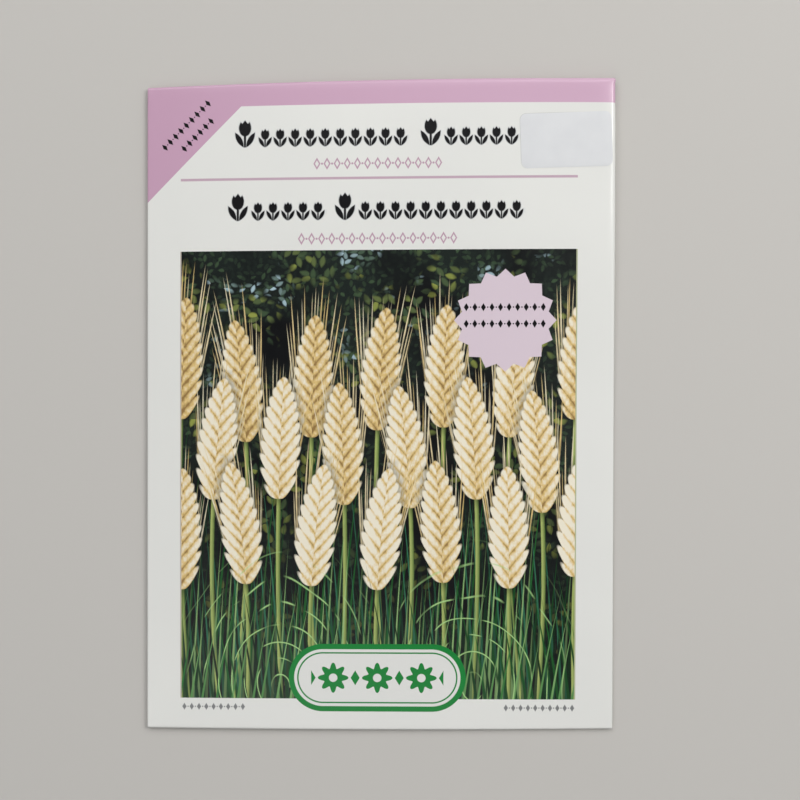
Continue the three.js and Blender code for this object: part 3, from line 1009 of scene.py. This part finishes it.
# A darker and a lighter tone of each plain material
BARE_PAPER_TONES = (srgb(206, 202, 192), srgb(222, 219, 210))
LABEL_TONES = (srgb(212, 213, 215), srgb(221, 222, 223))
PASTE_TONES = (srgb(196, 184, 142), srgb(222, 212, 178))
SEED_TONES = (srgb(120, 82, 44), srgb(196, 158, 98))
SEED_STREAK = srgb(90, 58, 32)

# The print runs a little askew: its own y is y + x * (PRINT_TILT + PRINT_FAN * y).
PRINT_TILT = -0.00523
PRINT_FAN = -0.0000739
BARE_ROUGHNESS = 0.79
COATED_ROUGHNESS = 0.22


def new_material(name):
    material = bpy.data.materials.new(name)
    material.use_nodes = True
    Num.tree = material.node_tree
    return material, material.node_tree.nodes["Principled BSDF"]


def bump(shader, height, distance, strength):
    node = new_node("Bump")
    node.inputs["Strength"].default_value = strength
    node.inputs["Distance"].default_value = distance
    plug(height, node.inputs["Height"])
    Num.tree.links.new(node.outputs[0], shader.inputs["Normal"])


def attribute(name):
    node = new_node("Attribute")
    node.attribute_name = name
    return split(node.outputs["Vector"])


def place_on_object():
    """Where a point is, in millimetres."""
    node = new_node("TexCoord")
    return [value / MM for value in split(node.outputs["Object"])]


def printed_paper():
    material, shader = new_material("printed_paper")
    x, y, printed = attribute("sheet")
    y_print = times_plus(x, times_plus(y, PRINT_FAN, PRINT_TILT), y)
    coated = over(SHADED_WHITE, WHITE, noise(x, y, scale=0.05))
    ink = corner_and_band(coated, x, y)
    ink = title_rows(ink, x, y_print)
    ink = mauve_rows(ink, x, y_print)
    in_picture = between(x, PICTURE_LEFT, PICTURE_RIGHT) * between(y_print, PICTURE_BOTTOM, PICTURE_TOP)
    ink = over(ink, picture(x, y_print), in_picture)
    ink = picture_rims(ink, x, y_print)
    ink = badge(ink, x, y_print)
    ink = cartouche(ink, x, y_print)
    ink = small_print(ink, x, y_print)
    # Painted shadow of the label's edge on the paper
    ink = painted_label_shadow(ink, x, y)
    on_back = above(x, BACK_START)
    ink = over(ink, back_print(coated, x - BACK_MIDDLE, y), on_back)
    fibre = noise(x, y * 2.2, scale=1.4, detail=3.0)
    bare = over(*BARE_PAPER_TONES, fibre)
    plug(over(bare, ink, printed), shader.inputs["Base Color"])
    roughness = times_plus(printed, COATED_ROUGHNESS - BARE_ROUGHNESS, BARE_ROUGHNESS)
    plug(roughness + noise(x, y, scale=0.6) * 0.06, shader.inputs["Roughness"])
    shader.inputs["Specular IOR Level"].default_value = 0.5
    bump(shader, noise(x, y, scale=1.6, detail=3.0), distance=0.02 * MM, strength=0.12)
    return material


def label_paper():
    material, shader = new_material("label_paper")
    x, y, _ = place_on_object()
    mottle = noise(x, y, scale=0.25, detail=3.0)
    plug(over(*LABEL_TONES, mottle), shader.inputs["Base Color"])
    plug(times_plus(mottle, 0.1, 0.5), shader.inputs["Roughness"])
    bump(shader, noise(x, y, scale=2.5, detail=3.0), distance=0.01 * MM, strength=0.3)
    return material


def paste():
    material, shader = new_material("paste")
    x, y, _ = place_on_object()
    streaks = noise(x * 0.4, y, scale=0.8, detail=3.0)
    plug(over(*PASTE_TONES, streaks), shader.inputs["Base Color"])
    plug(times_plus(streaks, 0.25, 0.35), shader.inputs["Roughness"])
    bump(shader, streaks, distance=0.03 * MM, strength=0.5)
    return material


def seed_husk():
    material, shader = new_material("seed_husk")
    x, y, _ = place_on_object()
    blotch = noise(x, y, scale=0.9, detail=3.0)
    streak = noise(x * 3.0, y * 3.0, scale=2.2, detail=3.0, roughness=0.7)
    body = over(*SEED_TONES, ramp(blotch, 0.3, 0.7))
    plug(over(body, SEED_STREAK, ramp(streak, 0.55, 0.75) * 0.6), shader.inputs["Base Color"])
    plug(times_plus(streak, 0.2, 0.5), shader.inputs["Roughness"])
    bump(shader, streak, distance=0.03 * MM, strength=0.6)
    return material


# ---------------------------------------------------------------- label and seeds

LABEL_ROWS = 24
LABEL_COLUMNS = 40
LABEL_LIFT = PAPER / 2 + 0.01    # its underside, above the middle of the paper
LABEL_RIM = 0.02                 # thickness at its pressed edge
RIM_WIDTH = 1.5                  # how far in from the edge it has its full thickness


def build_label():
    """A thin sheet with round corners that lies on the front panel. Its rows shorten in the corners."""
    y = -np.cos(np.linspace(0, math.pi, LABEL_ROWS + 1))[:, None] * LABEL_HEIGHT / 2
    into_corner = np.clip(abs(y) - (LABEL_HEIGHT / 2 - LABEL_CORNER), 0, None)
    half_width = LABEL_WIDTH / 2 - LABEL_CORNER + np.sqrt(LABEL_CORNER**2 - into_corner**2)
    x = np.linspace(-1, 1, LABEL_COLUMNS + 1)[None, :] * half_width
    y = y + 0 * x
    c, s = math.cos(LABEL_TURN), math.sin(LABEL_TURN)
    points, normals = front_frames(LABEL_CENTRE.x + c * x - s * y, LABEL_CENTRE.y + s * x + c * y)
    from_edge = np.minimum(half_width - abs(x), LABEL_HEIGHT / 2 - abs(y))
    pressed = (1 - np.clip(from_edge / RIM_WIDTH, 0, 1)[:, :, None]) ** 2
    thickness = LABEL_THICKNESS - (LABEL_THICKNESS - LABEL_RIM) * pressed
    under = points + normals * LABEL_LIFT
    upper = under + normals * thickness
    faces, _, _, _ = sheet_faces(np.ones(x.shape, bool), x.size)
    label = mesh_object("blank_label", np.concatenate([upper.reshape(-1, 3), under.reshape(-1, 3)]), faces)
    smooth_with_crisp_edges(label)
    return label


def build_seeds(nodes):
    """One mesh of all the seeds, with each grain rounded from its CAD solid."""
    made = bmesh.new()
    for node in nodes:
        made.from_mesh(node.data)
    bmesh.ops.remove_doubles(made, verts=made.verts, dist=0.001 * MM)
    mesh = bpy.data.meshes.new("seeds")
    made.to_mesh(mesh)
    made.free()
    mesh.shade_smooth()
    piece = new_object("seeds", mesh)
    rounding = piece.modifiers.new("rounding", "SUBSURF")
    rounding.levels = rounding.render_levels = 1
    return piece


# ---------------------------------------------------------------- assembly

def dress(piece, nodes, material):
    piece.data.materials.clear()
    piece.data.materials.append(material)
    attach(piece, "root")
    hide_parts(*nodes)


dress(build_envelope(), ["envelope"], printed_paper())
dress(build_label(), ["price_label"], label_paper())
seed_nodes = sorted(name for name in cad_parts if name.startswith("seed_"))
seeds = build_seeds([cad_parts[name] for name in seed_nodes])
dress(seeds, seed_nodes, seed_husk())
dried_paste = paste()
for name in ("top_flap_glue", "bottom_flap_glue", "side_seam_glue"):
    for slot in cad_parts[name].material_slots:
        slot.material = dried_paste


# ---------------------------------------------------------------- floor, camera and lights

# Lengths are in metres from here on.
FLOOR_SIZE = 1.6
FLOOR_DEPTH = 0.0001             # how far below the packet, which keeps the two surfaces apart
FLOOR_COLOUR = srgb(196, 193, 188)
CAMERA_PLACE = Vector((8.33, 4.08, 249.9)) * MM
CAMERA_TURN = (-0.720, 1.103, 0.147)
CAMERA_LENS = 63.45
ROOM_LIGHT = 0.6                 # strength of the room's light at the height of the eye
OVERHEAD_LIGHT = 0.14
ROOM_COLOUR = (0.95, 0.97, 1.0, 1.0)
WINDOW_COLOUR = (1.0, 0.99, 0.97)


def add_floor():
    bpy.ops.mesh.primitive_plane_add(size=FLOOR_SIZE)
    floor = bpy.context.object
    floor.name = "floor"
    floor.location.z = -FLOOR_DEPTH
    material, shader = new_material("floor")
    shader.inputs["Base Color"].default_value = FLOOR_COLOUR
    shader.inputs["Roughness"].default_value = 0.8
    floor.data.materials.append(material)


def add_camera():
    camera = bpy.data.cameras.new("camera")
    camera.sensor_width = 36
    camera.lens = CAMERA_LENS
    camera.clip_start = 0.01
    holder = new_object("camera", camera)
    holder.location = CAMERA_PLACE
    holder.rotation_euler = [math.radians(degrees) for degrees in CAMERA_TURN]
    bpy.context.scene.camera = holder


def add_light(name, place, width, height, power, target=(0, 0, 0), colour=(1, 1, 1)):
    light = bpy.data.lights.new(name, "AREA")
    light.shape = "RECTANGLE"
    light.size = width
    light.size_y = height
    light.energy = power
    light.color = colour
    holder = new_object(name, light)
    holder.location = place
    aim = Vector(target) - Vector(place)
    holder.rotation_euler = aim.to_track_quat("-Z", "Y").to_euler()


def add_studio():
    """A pale room that is dimmer overhead, a narrow window light and two wide soft ones."""
    world = bpy.data.worlds.new("studio")
    bpy.context.scene.world = world
    world.use_nodes = True
    Num.tree = world.node_tree
    background = Num.tree.nodes["Background"]
    background.inputs["Color"].default_value = ROOM_COLOUR
    _, _, up = split(new_node("TexCoord").outputs["Generated"])
    low = 1.0 - most(up, 0.0)
    plug(times_plus(low * low, ROOM_LIGHT - OVERHEAD_LIGHT, OVERHEAD_LIGHT), background.inputs["Strength"])
    right_fold = (0.04, 0.05, 0)
    add_light("window", (0.45, 0.19, 0.52), 0.04, 0.38, power=1.85, target=right_fold, colour=WINDOW_COLOUR)
    add_light("fill", (-0.02, 0.50, 0.50), 1.2, 0.4, power=3.72)
    add_light("low fill", (-0.15, -0.45, 0.50), 0.6, 0.6, power=0.92)


add_floor()
add_camera()
add_studio()
bpy.context.scene.view_settings.view_transform = "Standard"
